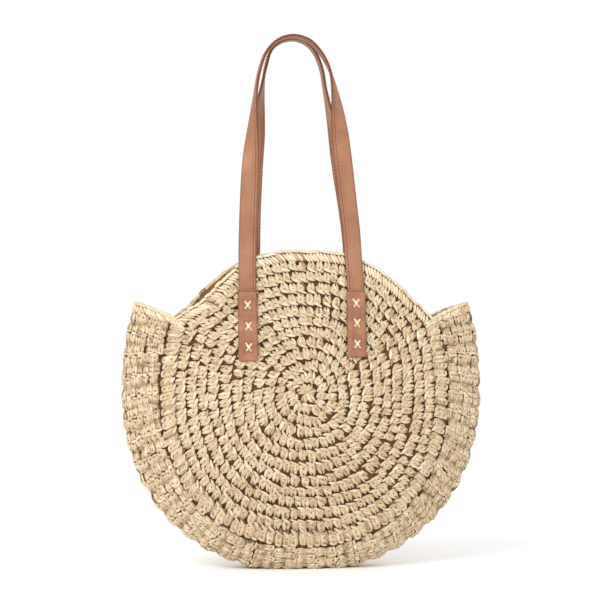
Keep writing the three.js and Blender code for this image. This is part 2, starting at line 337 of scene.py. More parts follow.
def outwardFacing(part):
    # turns every face round where the closed skin's volume comes out negative
    a, b, c, d = (part["points"][part["quads"][:, k]] for k in range(4))
    e, f, g = (part["points"][part["tris"][:, k]] for k in range(3))
    volume = np.sum(a * (np.cross(b, c) + np.cross(c, d))) + np.sum(e * np.cross(f, g))
    if volume < 0:
        for key in ("quads", "tris", "quadUv", "triUv"):
            part[key] = part[key][:, ::-1]
    return part


def makePiece(name, part, material, atlas=False):
    # a mesh from whole arrays: corners of all quads, then of all triangles. The map Weave follows
    # the surface, and the map OFBake gives each of many small islands a cell of its own.
    mesh = bpy.data.meshes.new(name)
    quads, tris = part["quads"], part["tris"]
    corners = np.concatenate([quads.ravel(), tris.ravel()]).astype(np.int32)
    totals = np.concatenate([np.full(len(quads), 4), np.full(len(tris), 3)])
    mesh.vertices.add(len(part["points"]))
    mesh.vertices.foreach_set("co", (part["points"] * millimetre).astype(np.float32).ravel())
    mesh.loops.add(len(corners))
    mesh.loops.foreach_set("vertex_index", corners)
    mesh.polygons.add(len(totals))
    mesh.polygons.foreach_set("loop_start", (np.cumsum(totals) - totals).astype(np.int32))
    mesh.polygons.foreach_set("use_smooth", np.ones(len(totals), bool))
    local = np.concatenate([part["quadUv"].reshape(-1, 2), part["triUv"].reshape(-1, 2)])
    island = np.concatenate([np.repeat(part["quadIsland"], 4), np.repeat(part["triIsland"], 3)])
    weave = mesh.uv_layers.new(name="Weave")
    offset = np.stack([island * 0.37 % 7, island * 0.61 % 11], -1)
    weave.uv.foreach_set("vector", (local + offset).astype(np.float32).ravel())
    if atlas:
        across = math.ceil(math.sqrt(part["islands"]))
        cell = np.stack([island % across, island // across], -1)
        bake = mesh.uv_layers.new(name="OFBake")
        margin = 0.06
        place = (cell + margin + (1 - 2 * margin) * local) / across
        bake.uv.foreach_set("vector", place.astype(np.float32).ravel())
    tone = mesh.attributes.new("tone", "FLOAT", "POINT")
    tone.data.foreach_set("value", part["tone"].astype(np.float32))
    mesh.update(calc_edges=True)
    mesh.validate()
    mesh.materials.append(material)
    piece = bpy.data.objects.new(name, mesh)
    bpy.context.scene.collection.objects.link(piece)
    return piece


# Materials

def linearColour(hexCode):
    channels = [int(hexCode[i:i + 2], 16) / 255 for i in (1, 3, 5)]
    return [c / 12.92 if c <= 0.04045 else ((c + 0.055) / 1.055) ** 2.4 for c in channels] + [1.0]


def newMaterial(name):
    material = bpy.data.materials.new(name)
    material.use_nodes = True
    material.node_tree.nodes.clear()
    return material, material.node_tree


def addNode(tree, kind, values=None, links=None, ramp=None, **settings):
    # makes a node, sets its properties, input values and colour stops, and links its inputs
    node = tree.nodes.new("ShaderNode" + kind)
    for key, value in settings.items():
        setattr(node, key, value)
    for key, value in (values or {}).items():
        node.inputs[key].default_value = value
    for key, output in (links or {}).items():
        tree.links.new(output, node.inputs[key])
    if ramp:
        stops = node.color_ramp.elements
        while len(stops) < len(ramp):
            stops.new(0.5)
        for stop, (place, colour) in zip(stops, ramp):
            stop.position = place
            stop.color = linearColour(colour) if isinstance(colour, str) else [colour] * 3 + [1.0]
    return node


def addSurface(tree, values, colour=None, rough=None, bump=None):
    # a principled shader on the material's output, with the links that are given
    links = {"Base Color": colour, "Roughness": rough, "Normal": bump}
    links = {key: output for key, output in links.items() if output is not None}
    shader = addNode(tree, "BsdfPrincipled", values, links)
    addNode(tree, "OutputMaterial", None, {"Surface": shader.outputs[0]})


def strawMaterial(name, look):
    # Twisted paper straw, crocheted and undyed. The eye gets matt cream cords with fine
    # lengthwise creases and small changes of tone from cord to cord. Painted shade darkens the
    # creases and the deeper cords.
    material, tree = newMaterial(name)
    tone = addNode(tree, "Attribute", attribute_name="tone")
    place = addNode(tree, "TexCoord")
    patches = addNode(tree, "TexNoise", {"Scale": 1 / look["patchSize"], "Detail": 2.0},
                      {"Vector": place.outputs["Object"]})
    reach = look["patchShare"]
    patchTone = addNode(tree, "MapRange", {"To Min": -reach, "To Max": reach},
                        {"Value": patches.outputs["Fac"]})
    toned = addNode(tree, "Math", None, {0: tone.outputs["Fac"], 1: patchTone.outputs[0]}, operation="ADD")
    colour = addNode(tree, "ValToRGB", None, {"Fac": toned.outputs[0]}, look["colours"])
    along = addNode(tree, "UVMap", uv_map="Weave")
    stretched = addNode(tree, "Mapping", {"Scale": (look["creaseAlong"], look["creaseAcross"], 1)},
                        {"Vector": along.outputs["UV"]})
    creases = addNode(tree, "TexNoise", {"Scale": 1.0, "Detail": 3.0, "Roughness": 0.6},
                      {"Vector": stretched.outputs["Vector"]})
    shade = addNode(tree, "ValToRGB", None, {"Fac": creases.outputs["Fac"]},
                    [(0.3, look["creaseShade"]), (0.62, 1.0)])
    final = addNode(tree, "Mix", {0: 1.0}, {6: colour.outputs["Color"], 7: shade.outputs["Color"]},
                    data_type="RGBA", blend_type="MULTIPLY")
    rough = addNode(tree, "MapRange", {"To Min": 0.9, "To Max": 0.68}, {"Value": creases.outputs["Fac"]})
    bump = addNode(tree, "Bump", {"Strength": 0.7, "Distance": look["creaseDepth"]},
                   {"Height": creases.outputs["Fac"]})
    addSurface(tree, {"IOR": 1.45, "Sheen Weight": 0.08, "Sheen Roughness": 0.5},
               final.outputs[2], rough.outputs[0], bump.outputs["Normal"])
    return material


def leatherMaterial(name, look):
    # Smooth tan leather, drum dyed and lightly waxed. The eye gets a satin face with fine grain,
    # cloudy dye and a darker painted edge; painted shade darkens the pressed stitch lines and the
    # dents at the needle holes.
    material, tree = newMaterial(name)
    # the tone attribute: the painted edge, plus painted shade along the pressed lines and in the needle-hole
    # dents
    edge = addNode(tree, "Attribute", attribute_name="tone")
    place = addNode(tree, "TexCoord")
    clouds = addNode(tree, "TexNoise", {"Scale": 1 / look["cloudSize"], "Detail": 4.0, "Roughness": 0.6},
                     {"Vector": place.outputs["Object"]})
    dye = addNode(tree, "ValToRGB", None, {"Fac": clouds.outputs["Fac"]}, look["colours"])
    grain = addNode(tree, "TexVoronoi", {"Scale": 1 / look["grainSize"]},
                    {"Vector": place.outputs["Object"]}, feature="DISTANCE_TO_EDGE")
    pores = addNode(tree, "TexNoise", {"Scale": 1 / look["poreSize"], "Detail": 3.0},
                    {"Vector": place.outputs["Object"]})
    painted = addNode(tree, "Mix", {7: linearColour(look["edgeColour"])},
                      {0: edge.outputs["Fac"], 6: dye.outputs["Color"]}, data_type="RGBA")
    rough = addNode(tree, "MapRange", {"To Min": 0.5, "To Max": 0.66}, {"Value": pores.outputs["Fac"]})
    relief = addNode(tree, "Math", {1: 0.35}, {0: grain.outputs["Distance"], 2: pores.outputs["Fac"]},
                     operation="MULTIPLY_ADD")
    bump = addNode(tree, "Bump", {"Strength": 0.35, "Distance": look["grainDepth"]},
                   {"Height": relief.outputs[0]})
    addSurface(tree, {"IOR": 1.48, "Coat Weight": 0.06, "Coat Roughness": 0.4},
               painted.outputs[2], rough.outputs[0], bump.outputs["Normal"])
    return material


def threadMaterial(name, look):
    # Waxed plied thread. The eye gets short slanting ply marks and a soft low gloss.
    material, tree = newMaterial(name)
    along = addNode(tree, "UVMap", uv_map="Weave")
    slanted = addNode(tree, "Mapping", {"Scale": look["plyScale"], "Rotation": (0, 0, math.radians(35))},
                      {"Vector": along.outputs["UV"]})
    fibres = addNode(tree, "TexNoise", {"Scale": 1.0, "Detail": 3.0}, {"Vector": slanted.outputs["Vector"]})
    colour = addNode(tree, "ValToRGB", None, {"Fac": fibres.outputs["Fac"]}, look["colours"])
    bump = addNode(tree, "Bump", {"Strength": 0.5, "Distance": 0.0002}, {"Height": fibres.outputs["Fac"]})
    addSurface(tree, {"IOR": 1.5, "Roughness": 0.62}, colour.outputs["Color"], bump=bump.outputs["Normal"])
    return material


def liningMaterial(name, look):
    # Plain-woven cotton, piece dyed brown, kept dark so that the cloth seen through the crochet's
    # holes gives their shade as painted shade. The eye gets a fine cross weave, slightly slubby, quite matt.
    material, tree = newMaterial(name)
    place = addNode(tree, "TexCoord")
    threads = {"Scale": look["threadsPerMetre"] * math.pi / 10, "Distortion": 0.6}
    warp, weft = (addNode(tree, "TexWave", threads, {"Vector": place.outputs["Object"]}, bands_direction=way)
                  for way in ("X", "Z"))
    weave = addNode(tree, "Math", None, {0: warp.outputs["Fac"], 1: weft.outputs["Fac"]},
                    operation="MULTIPLY")
    slubs = addNode(tree, "TexNoise", {"Scale": 1 / look["slubSize"], "Detail": 3.0},
                    {"Vector": place.outputs["Object"]})
    cloth = addNode(tree, "Math", {1: 0.5}, {0: weave.outputs[0], 2: slubs.outputs["Fac"]},
                    operation="MULTIPLY_ADD")
    colour = addNode(tree, "ValToRGB", None, {"Fac": cloth.outputs[0]}, look["colours"])
    bump = addNode(tree, "Bump", {"Strength": 0.4, "Distance": 0.0003}, {"Height": weave.outputs[0]})
    addSurface(tree, {"Roughness": 0.92, "Sheen Weight": 0.1}, colour.outputs["Color"],
               bump=bump.outputs["Normal"])
    return material


strawLook = {
    # the lowest stops mostly colour the deep cords, whose lower tone is painted shade
    "colours": [(0.0, "#8c6d4b"), (0.3, "#c9ab83"), (0.5, "#dcc4a1"), (0.75, "#e7d4b6"), (1.0, "#f1e3ca")],
    "patchSize": 0.06,
    "patchShare": 0.16,
    "creaseAlong": 1.6,
    "creaseAcross": 9.0,  # creases about 1 mm apart round a 3 mm cord
    "creaseShade": 0.55,
    "creaseDepth": 0.0006,
}
leatherLook = {
    "colours": [(0.25, "#8c5b3f"), (0.5, "#996849"), (0.75, "#a67558")],
    "cloudSize": 0.03,
    "grainSize": 0.0012,  # real grain is about 0.3 mm, drawn coarser so that it shows
    "poreSize": 0.0005,
    "grainDepth": 0.00025,
    "edgeColour": "#6b3a26",
}
paperStraw = strawMaterial("crochetedPaperStraw", strawLook)
# its darker low stops deepen the painted shade on the gusset's deep cords
gussetStraw = strawMaterial("tightlyCrochetedPaperStraw", {**strawLook, "colours": [
    (0.0, "#735a3c"), (0.3, "#bda17a"), (0.5, "#dac19e"), (0.75, "#e8d4b5"), (1.0, "#f1e2c9")]})
edgingStraw = strawMaterial("plainEdgingPaperStraw", {**strawLook, "colours": [
    (0.0, "#94764f"), (0.3, "#d6ba92"), (0.5, "#ead4b1"), (0.75, "#f2e0c4"), (1.0, "#f8ecd6")]})
tanLeather = leatherMaterial("smoothTanLeather", leatherLook)
tabLeather = leatherMaterial("smoothTanTabLeather", {**leatherLook, "cloudSize": 0.016, "colours": [
    (0.25, "#815036"), (0.5, "#936145"), (0.75, "#a8734f")]})
creamThread = threadMaterial("waxedCreamThread", {
    "colours": [(0.3, "#b79d74"), (0.55, "#e2cfab"), (0.8, "#f2e5c9")], "plyScale": (6, 2, 1)})
brownThread = threadMaterial("waxedBrownThread", {
    "colours": [(0.3, "#5c3220"), (0.55, "#74452d"), (0.8, "#8d5a3f")], "plyScale": (6, 2, 1)})
cottonLining = liningMaterial("plainWovenCotton", {
    # dark brown, partly the cloth's dye and partly painted shade for the holes in the crochet
    "colours": [(0.2, "#5f3a1e"), (0.6, "#855a30"), (0.9, "#9c6d3e")],
    "threadsPerMetre": 900.0,  # real cotton has about 2500, drawn coarser so that it shows
    "slubSize": 0.004,
})
print("materials made")


# Crochet. A stitch is a few short cords, each a curve through four points: u along the row in
# stitch widths, v up the row in row heights, and the lift off the outer face in millimetres.

def cord(path, halfWidth, halfThickness, tone, sides=6, stations=6):
    return {"path": path, "halfWidth": halfWidth, "halfThickness": halfThickness, "tone": tone,
            "sides": sides, "stations": stations}


# loops of the chain that a stitch stands on
chainLoops = [
    cord([(-0.66, -0.03, -2.2), (-0.22, 0.02, -0.5), (0.25, 0.15, -0.4), (0.62, 0.28, -2.2)],
         1.85, 1.3, 0.1, sides=5),
    cord([(-0.46, 0.30, -2.0), (-0.15, 0.34, -0.5), (0.20, 0.18, -0.6), (0.50, 0.04, -2.4)],
         1.5, 1.2, 0.04, sides=5),
]
roundStitch = {
    "jitter": (0.08, 0.06, 0.35),
    "swell": 0.14,
    "cords": chainLoops + [
        # two legs drawn together at the top, which leaves an open corner to each side of them
        cord([(-0.22, 0.06, -2.0), (-0.29, 0.34, -0.6), (-0.26, 0.70, -0.7), (-0.09, 1.02, -3.0)],
             1.8, 1.3, 0.02),
        cord([(0.22, 0.08, -2.1), (0.29, 0.36, -0.6), (0.26, 0.72, -0.6), (0.08, 1.02, -2.9)],
             1.85, 1.35, 0.0),
        # strand wrapped over the legs
        cord([(-0.36, 0.28, -1.5), (-0.14, 0.42, 0.1), (0.14, 0.64, 0.1), (0.34, 0.82, -1.6)],
             1.35, 0.9, 0.04, sides=5),
        # fillers in the two creases, and what lies behind, given a lower tone as painted shade
        cord([(0.50, 0.02, -2.4), (0.50, 0.30, -1.5), (0.50, 0.50, -1.6), (0.48, 0.70, -3.2)],
             1.9, 1.1, -0.06, 5, 5),
        cord([(0.00, 0.08, -2.6), (0.00, 0.36, -1.6), (0.00, 0.62, -1.7), (0.00, 0.86, -3.0)],
             1.7, 1.0, -0.06, 5, 5),
        cord([(-0.02, -0.05, -4.0), (-0.02, 0.2, -3.5), (0.02, 0.5, -3.5), (0.0, 0.78, -4.2)],
             2.9, 0.9, -0.3, 4, 4),
        cord([(-0.6, 0.12, -3.9), (-0.2, 0.08, -3.4), (0.2, 0.12, -3.4), (0.6, 0.14, -3.9)],
             1.7, 0.9, -0.3, 4, 4),
    ],
}
# tighter work of the gusset: strands cross more, and nothing shows through
rowStitch = {
    "jitter": (0.10, 0.08, 0.4),
    "swell": 0.14,
    "cords": [
        cord([(-0.26, 0.06, -2.1), (-0.32, 0.34, -0.7), (-0.20, 0.66, -0.7), (-0.06, 1.00, -2.4)],
             1.75, 1.2, 0.04),
        cord([(0.24, 0.08, -2.2), (0.30, 0.36, -0.7), (0.26, 0.68, -0.6), (0.12, 1.00, -2.3)],
             1.8, 1.2, 0.06),
        cord([(-0.46, 0.26, -1.8), (-0.18, 0.42, -0.3), (0.18, 0.58, -0.3), (0.46, 0.76, -1.9)],
             1.4, 1.0, 0.08, sides=5),
        cord([(-0.60, 0.10, -2.0), (-0.20, 0.00, -0.6), (0.25, 0.08, -0.5), (0.60, 0.20, -1.9)],
             1.7, 1.25, 0.1, sides=5),
        # the chain in the valley where two rows meet, and the deeper cords after it, carry a lower tone:
        # painted shade
        cord([(-0.60, 0.90, -2.6), (-0.20, 1.04, -1.8), (0.25, 0.98, -1.8), (0.60, 0.92, -2.6)],
             1.7, 1.2, -0.14, sides=5),
        cord([(0.50, 0.04, -2.4), (0.48, 0.34, -1.5), (0.50, 0.64, -1.6), (0.50, 0.94, -2.8)],
             1.5, 1.0, -0.04, 5, 5),
        cord([(0.0, -0.12, -3.6), (0.0, 0.3, -2.8), (0.0, 0.7, -2.8), (0.0, 1.12, -3.6)],
             4.2, 0.8, -0.24, 4, 5),
        cord([(-0.6, 0.95, -3.8), (-0.2, 1.0, -3.4), (0.2, 1.0, -3.4), (0.6, 0.95, -3.8)],
             3.0, 0.8, -0.28, 4, 4),
    ],
}
# the round that sews disc and gusset together: like the disc's, but longer and closed
joinStitch = {
    "jitter": (0.09, 0.05, 0.35),
    "swell": 0.12,
    "cords": chainLoops + [
        cord([(-0.30, 0.04, -2.0), (-0.34, 0.30, -0.6), (-0.20, 0.62, -0.6), (-0.12, 1.00, -2.3)],
             1.9, 1.25, 0.02, 6, 7),
        cord([(0.16, 0.04, -2.0), (0.20, 0.30, -0.6), (0.32, 0.62, -0.6), (0.30, 1.00, -2.2)],
             1.9, 1.25, 0.04, 6, 7),
        cord([(-0.46, 0.34, -1.8), (-0.18, 0.44, -0.2), (0.20, 0.60, -0.2), (0.46, 0.72, -1.8)],
             1.5, 1.0, 0.06),
        cord([(-0.46, 0.80, -1.9), (-0.18, 0.84, -0.6), (0.20, 0.90, -0.6), (0.46, 0.92, -2.0)],
             1.6, 1.1, 0.04),
        # fillers and the cord behind carry a lower tone: painted shade
        cord([(0.48, 0.02, -2.4), (0.48, 0.30, -1.5), (0.50, 0.60, -1.6), (0.50, 0.96, -2.8)],
             1.9, 1.0, -0.06),
        cord([(-0.02, 0.06, -2.4), (0.00, 0.34, -1.6), (0.06, 0.64, -1.6), (0.08, 0.96, -2.8)],
             1.7, 1.0, -0.06),
        cord([(0.0, -0.2, -3.6), (0.0, 0.2, -3.0), (0.0, 0.7, -3.0), (0.0, 1.15, -3.7)],
             5.2, 0.8, -0.28, 4, 5),
    ],
}
edgingStitch = {
    "jitter": (0.06, 0.04, 0.2),
    "swell": 0.08,
    "cords": [
        # slanting legs on the outer face
        cord([(-0.70, -0.12, -2.2), (-0.40, 0.16, -0.5), (0.05, 0.48, -0.2), (0.35, 0.80, -1.0)],
             1.75, 1.1, 0.02, 6, 8),
        cord([(-0.25, -0.14, -2.2), (0.05, 0.14, -0.5), (0.50, 0.44, -0.2), (0.80, 0.76, -1.1)],
             1.75, 1.1, 0.04, 6, 8),
        # chain loops over the front, the top and the back of the edge
        cord([(-0.75, 0.80, -1.3), (-0.25, 0.86, 0.0), (0.30, 0.92, 0.0), (0.75, 0.94, -1.4)],
             1.5, 1.2, 0.1, 6, 7),
        cord([(-0.75, 0.94, -3.0), (-0.20, 1.00, -2.6), (0.30, 0.99, -2.7), (0.75, 0.94, -3.2)],
             1.7, 1.4, 0.06, 6, 7),
        cord([(-0.70, 0.82, -5.2), (-0.20, 0.94, -4.9), (0.30, 0.92, -4.9), (0.70, 0.82, -5.4)],
             1.7, 1.2, 0.02, 6, 7),
        # slanting legs on the inner face, and the core, whose lower tone is painted shade
        cord([(-0.50, 0.05, -5.0), (-0.30, 0.32, -5.0), (0.10, 0.60, -5.0), (0.35, 0.90, -5.0)],
             2.6, 1.0, 0.0, 6, 7),
        cord([(-0.60, 0.38, -3.0), (-0.20, 0.38, -2.9), (0.20, 0.38, -2.9), (0.60, 0.38, -3.0)],
             5.4, 1.4, -0.2, 6, 5),
    ],
}


yarn = {
    "ownSway": 0.6,  # of the stitch's jitter, added to each cord by itself
    "toneSpread": 0.14,
    "backing": (-3.2, -2.2),  # lifts between which the backing, which stays level, gives way to relief
}


def bezier(controls, count):
    # point = (1-t)^3 a + 3(1-t)^2 t b + 3(1-t) t^2 c + t^3 d
    t = np.linspace(0, 1, count)[:, None]
    weights = np.hstack([(1 - t) ** 3, 3 * (1 - t) ** 2 * t, 3 * (1 - t) * t ** 2, t ** 3])
    return np.einsum("jc,...ck->...jk", weights, controls)


def stitchCells(p, q, along, up):
    # a cell for each stitch: its corner (p, q), one stitch along the row and one row up
    values = np.broadcast_arrays(p, q, *along, *up)
    return dict(zip(("p", "q", "pu", "qu", "pv", "qv"), values))


def layStitches(surface, cells, stitch, random, relief=None):
    # each cord's (u, v) goes to the surface's own (p, q) by its cell's corner and two edges, and
    # its lift is taken along the surface's normal
    count = len(cells["p"])
    sway = random.normal(0, 1, (count, 1, 3)) * stitch["jitter"]
    parts = []
    for strand in stitch["cords"]:
        own = random.normal(0, yarn["ownSway"], (count, 4, 3)) * stitch["jitter"]
        line = bezier(np.array(strand["path"])[None] + sway + own, strand["stations"])
        u, v, lift = line[..., 0], line[..., 1], line[..., 2]
        p = cells["p"][:, None] + u * cells["pu"][:, None] + v * cells["pv"][:, None]
        q = cells["q"][:, None] + u * cells["qu"][:, None] + v * cells["qv"][:, None]
        point, normal = pointAndNormal(surface, p, q)
        if relief:
            lift = lift + relief(p, q) * smoothRamp(lift, *yarn["backing"])
        size = 1 + random.normal(0, stitch["swell"], count)
        # tone: the cord's own offset, lower on the deep cords as painted shade, plus a random spread from
        # cord to cord
        tone = 0.5 + strand["tone"] + random.normal(0, yarn["toneSpread"], count)
        parts.append(tubes(point + normal * lift[..., None], normal, strand["halfWidth"] * size,
                           strand["halfThickness"] * size, strand["sides"], tone))
    return joined(parts)


rounds = {
    "count": 12,
    "stitchWidth": 8.8,
    "lean": 0.22,  # of a stitch width, the way the work goes round
    "reach": 0.985,  # of the wall, up to the ring of holes beside the seam
    "wander": 0.07,  # of a round's height, how far each round strays from a true circle
    "crowding": 0.07,  # share by which stitches bunch up and spread out along a round
}


def discRounds(side, random):
    # stitches round by round: as many as the round's middle has stitch widths
    p, q, width = [], [], []
    for k in range(rounds["count"]):
        middle = (k + 0.5) / rounds["count"]
        count = max(6, round(2 * math.pi * disc["halfWidth"] * middle / rounds["stitchWidth"]))
        even = (np.arange(count) + random.uniform()) * 2 * math.pi / count
        start, waves = random.uniform(0, 2 * math.pi, 2), random.integers(3, 9, 2)
        bunching = np.sum(np.sin(waves * even[:, None] + start) / waves, axis=1)
        p.append(even + rounds["crowding"] * bunching)
        q.append(np.full(count, k / rounds["count"]))
        width.append(np.full(count, 2 * math.pi / count))
    p, q, width = np.concatenate(p), np.concatenate(q), np.concatenate(width)
    turning = -side  # both discs are worked the same way round, seen from outside
    cells = stitchCells(p, q, (turning * width, 0), (turning * rounds["lean"] * width, 1 / rounds["count"]))
    drift = random.uniform(0, 2 * math.pi, 3)

    def surface(angle, share):
        stray = np.sin(5 * angle + drift[0] + 19 * share) + np.sin(3 * angle + drift[1] - 11 * share)
        stray = stray * rounds["wander"] / rounds["count"] * np.clip(1 - share, 0, 0.3) / 0.3
        return discPoint(side, angle, np.maximum(share + stray, 0.004) * rounds["reach"] * wallReach(angle))

    return layStitches(surface, cells, roundStitch, random)


for label, side in bothSides:
    part = discRounds(side, np.random.default_rng(11 + side))
    crochet = makePiece(f"{label}_crochet", part, paperStraw, atlas=True)
    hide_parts(f"{label}_panel")
    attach(crochet, f"{label}_panel")
print("discs crocheted")

gussetWork = {
    "rows": 66,
    "stitchesToFold": 7,
    "joinShare": 0.23,  # of the way from the seam to the fold, taken by the joining round
    "joinOverlap": 0.04,  # how far the joining round reaches back over the disc's last one
    "joinStitches": 80,
    "holeShift": 0.4,  # of a stitch, a step that leaves a small hole at each rib's foot
    "drift": 0.12,  # of a stitch, a slow shift from row to row
    "lean": 0.15,
    "ribHeight": 0.95,
    "floorGap": 0.2,  # pressed flat where the bag stands
}


def gussetHalf(side, random):
    start, end = strip["earShare"], 1 - strip["earShare"]
    rowShare = (end - start) / gussetWork["rows"]
    row, stitch = np.indices((gussetWork["rows"], gussetWork["stitchesToFold"])).reshape(2, -1)
    first = gussetWork["joinShare"]
    width = (1 - first) / gussetWork["stitchesToFold"]
    back = row % 2  # every second row is worked back, so its stitches stand the other way up
    way = 1 - 2 * back
    place = stitch + 0.5 + gussetWork["drift"] * np.sin(row * 2.4)
    place = place + gussetWork["holeShift"] * (stitch == 0) * back
    cells = stitchCells(start + (row + back) * rowShare, first + place * width,
                        (0, way * width), (way * rowShare, gussetWork["lean"] * width))
    surface = functools.partial(gussetPoint, side)

    def ribs(s, share):
        # two rows make one rib, high where their chains meet
        return gussetWork["ribHeight"] * (np.cos((s - start) / rowShare * np.pi) - 0.5)

    rows = layStitches(surface, cells, rowStitch, random, ribs)
    joinWidth = (end - start) / gussetWork["joinStitches"]
    along = start + (np.arange(gussetWork["joinStitches"]) + 0.5) * joinWidth
    overlap = gussetWork["joinOverlap"]
    joins = stitchCells(along, -overlap, (side * joinWidth, 0), (0, first + overlap))
    seam = layStitches(surface, joins, joinStitch, random)
    part = joined([rows, seam])
    part["points"][:, 2] = np.maximum(part["points"][:, 2], gussetWork["floorGap"])
    return part


for label, side in bothSides:
    part = gussetHalf(side, np.random.default_rng(21 + side))
    half = makePiece(f"gusset_crochet_{label}", part, gussetStraw, atlas=True)
    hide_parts("gusset")
    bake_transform(half)
print("gusset crocheted")


edging = {
    "stitches": 42,
    "earStitches": 8,
    "earDepthShare": 0.8,  # the ears' edging is thinner than the mouth's
    "topIn": 1.2,
    "proud": 0.6,
    "wave": 0.5,
    "fallOutside": 0.3,  # the band drops this much for each millimetre past the rim
}


def mouthEdging(side, random):
    # one row along the free edge, radius = rim + flare - sag less the band's height below its top
    start = math.radians(mouth["bandStart"])
    width = (math.pi - 2 * start) / edging["stitches"]
    middle = start + (np.arange(edging["stitches"]) + 0.5) * width
    cells = stitchCells(middle, 0, (-side * width, 0), (0, 1))

    def surface(angle, height):
        rim = rimRadius(angle)
        wave = edging["wave"] * np.sin(angle * 17 + side) * np.sin(angle * 11)
        radius = rim - edging["topIn"] + wave + rimFlare(angle) - disc["edgingHeight"] * (1 - height)
        depth = mix(disc["crownDepth"], rimDepth(angle), (radius / rim) ** 2) + edging["proud"]
        depth = depth - edging["fallOutside"] * np.maximum(radius - rim, 0)
        radius = radius - rimSag(side, angle)
        return aroundDisc(side, angle, radius, depth)

    return layStitches(surface, cells, edgingStitch, random)


def earEdging(side, ear, random):
    # one row over the open end of the strip, from the seam to the fold line
    width = 1 / edging["earStitches"]
    end = strip["earShare"]
    first, step = (end, -end) if ear == "right" else (1 - end, end)
    middle = (np.arange(edging["earStitches"]) + 0.5) * width
    cells = stitchCells(first, middle, (0, width), (step, 0))
    thin = [1, 1, edging["earDepthShare"]]
    cords = [{**strand, "path": np.array(strand["path"]) * thin} for strand in edgingStitch["cords"]]
    stitch = {**edgingStitch, "cords": cords}
    return layStitches(functools.partial(gussetPoint, side), cells, stitch, random)


for label, side in bothSides:
    part = mouthEdging(side, np.random.default_rng(31 + side))
    band = makePiece(f"{label}_mouth_edging", part, edgingStraw, atlas=True)
    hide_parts(f"{label}_edging")
    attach(band, f"{label}_panel")
    for ear in ("right", "left"):
        part = earEdging(side, ear, np.random.default_rng(41 + side))
        band = makePiece(f"{ear}_ear_edging_{label}", part, edgingStraw, atlas=True)
        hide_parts(f"{ear}_ear_edging")
        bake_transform(band)
print("edging crocheted")


# Lining

lining = {
    "inside": 6.4,  # from the crochet's outer face to the cloth
    "cloth": 0.7,
    "reach": 0.998,  # of the rim, up to the gusset's lining
    "reachAtMouth": 0.972,
    "pinch": 0.4,  # drawn in behind the thicker edging
    "pinchRamp": (0.5, 0.6),  # heights, as the sine of the angle, where each starts and is full
    "reachRamp": (0.52, 0.6),
    "ripple": 0.5,
    "rings": 30,
    "segments": 120,
    "stripStations": 160,
    "stripColumns": 14,
    "stripSeamIn": 6.8,  # the gusset's cloth: in from the seam, in from the fold, above the floor
    "stripFoldIn": 10.8,
    "stripBase": 6.6,
    "discCut": (0.292, 0.308),  # metres, cut round to the crochet disc
    "discArea": 0.0735,
    "stripCut": (0.053, 0.71),
}


def discLining(side):
    # a round of cloth: rings out over its outer face and back over its inner one
    angle = np.linspace(0, 2 * np.pi, lining["segments"], endpoint=False)[None]
    out = np.linspace(0, 1, lining["rings"] + 1)[1:, None]
    share = np.concatenate([out, out[::-1]])
    inset = np.concatenate([0 * out, 0 * out + lining["cloth"]])
    upper = smoothRamp(np.sin(angle), *lining["pinchRamp"])
    shorter = smoothRamp(np.sin(angle), *lining["reachRamp"])
    reach = mix(lining["reach"], lining["reachAtMouth"], shorter)
    point = discPoint(side, angle, share * reach)
    ripple = lining["ripple"] * np.sin(angle * 9 + 3 * share) * np.sin(angle * 4) * share ** 3
    point[..., 1] -= side * (lining["inside"] + inset + lining["pinch"] * upper + ripple * (ripple > 0))
    middle = discPoint(side, 0.0, 0.0)
    outer = middle - [0, side * lining["inside"], 0]
    inner = outer - [0, side * lining["cloth"], 0]
    return outwardFacing(ringSkin(point[None], outer[None, None], inner[None, None], np.zeros(1)))


def stripLining(side):
    # half the folded strip's lining, from the seam to the fold line, as a closed thin shell
    s = np.linspace(strip["earShare"], 1 - strip["earShare"], lining["stripStations"])[:, None]
    share = np.linspace(0, 1, lining["stripColumns"])
    columns = np.linspace(0, 1, foldTable.shape[1])
    nearest = np.rint(s[:, 0] * (foldTable.shape[0] - 1)).astype(int)
    even = np.array([np.interp(share, columns, row) for row in foldTable[nearest]])
    inset = np.array([lining["stripSeamIn"], lining["stripFoldIn"], lining["stripBase"]])
    outer = gussetAt(s, side * even, *inset)
    inner = gussetAt(s, side * even, *(inset + lining["cloth"]))
    rings = np.concatenate([outer, inner[:, ::-1]], axis=1)
    return outwardFacing(loft(rings, 0.0))


for label, side in bothSides:
    cloth = makePiece(f"{label}_cloth", discLining(side), cottonLining)
    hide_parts(f"{label}_lining")
    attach(cloth, f"{label}_panel")
    cloth = makePiece(f"gusset_cloth_{label}", stripLining(side), cottonLining)
    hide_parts("gusset_lining")
    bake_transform(cloth)
print("lining cut")


# Leather straps

